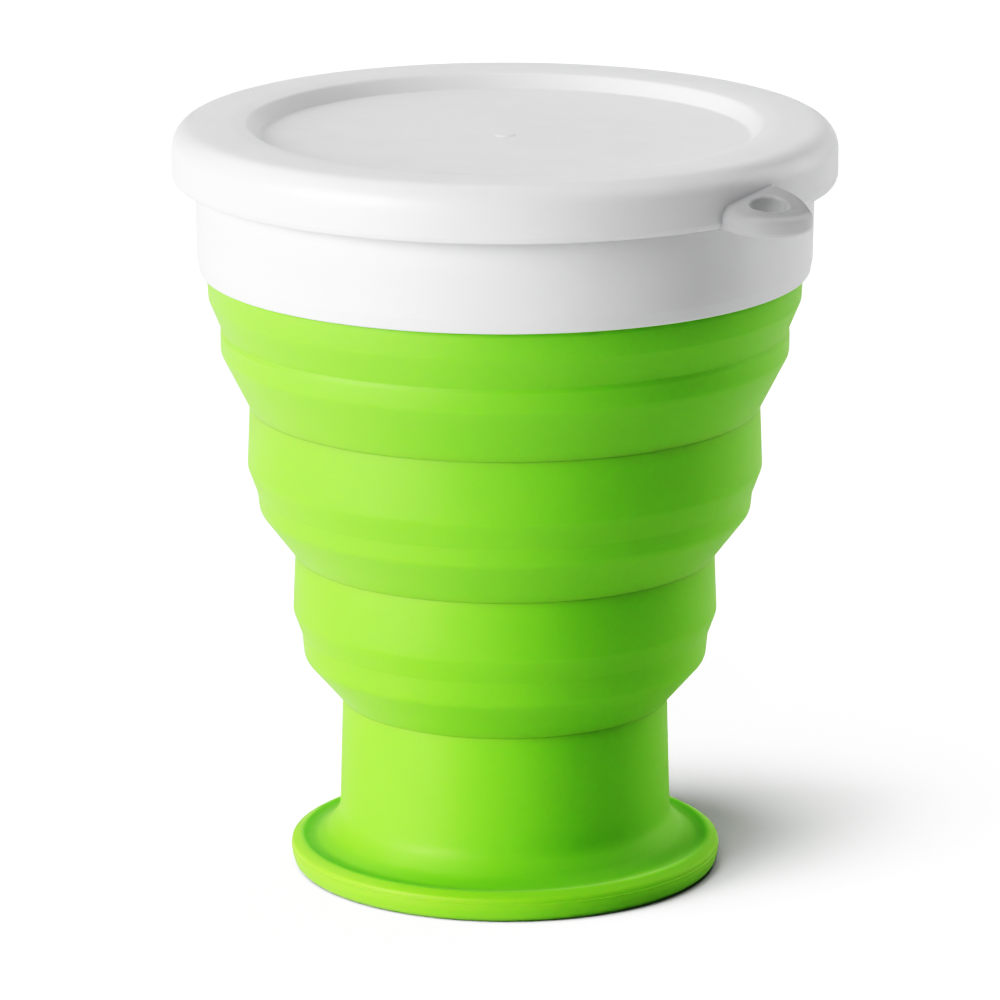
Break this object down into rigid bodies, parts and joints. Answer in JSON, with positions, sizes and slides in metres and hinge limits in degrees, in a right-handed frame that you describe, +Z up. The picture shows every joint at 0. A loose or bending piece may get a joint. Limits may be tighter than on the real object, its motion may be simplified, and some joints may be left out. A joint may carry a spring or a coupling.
{
  "type": "collapsible drinking cup",
  "caption": "Round collapsible silicone cup with stepped folding tiers, a rigid collar, a flanged foot and a push-on lid with a hanging loop.",
  "frame": {"origin": "centre of the foot's underside, where the cup's axis meets the table", "axes": "+Z up along the cup's axis towards the lid, -Y towards the front, hanging loop between +X and -Y"},
  "size_m": [0.083, 0.083, 0.0961],
  "materials": {
    "lid_plastic": "satin moulded polypropylene",
    "collar_plastic": "satin moulded polypropylene",
    "silicone": "satin translucent lime green silicone"
  },
  "bodies": {
    "base": {"stem": "silicone", "foot": "silicone"},
    "lower_tier": {"lower_band": "silicone", "lower_fold": "silicone"},
    "middle_tier": {"middle_band": "silicone", "middle_fold": "silicone"},
    "rim_tier": {"rim_band": "silicone", "upper_fold": "silicone", "collar_ring": "collar_plastic"},
    "lid_body": {"lid": "lid_plastic", "hang_loop": "lid_plastic"}
  },
  "joints": [
    {"name": "lower_stage", "type": "slide", "parent": "base", "child": "lower_tier", "axis": [0, 0, 1], "range_m": [-0.02, 0], "deforming": ["lower_fold"]},
    {"name": "middle_stage", "type": "slide", "parent": "lower_tier", "child": "middle_tier", "axis": [0, 0, 1], "range_m": [-0.022, 0], "deforming": ["middle_fold"]},
    {"name": "rim_stage", "type": "slide", "parent": "middle_tier", "child": "rim_tier", "axis": [0, 0, 1], "range_m": [-0.025, 0], "deforming": ["upper_fold"]},
    {"name": "lid_lift", "type": "slide", "parent": "rim_tier", "child": "lid_body", "axis": [0, 0, 1], "range_m": [0, 0.06]}
  ]
}
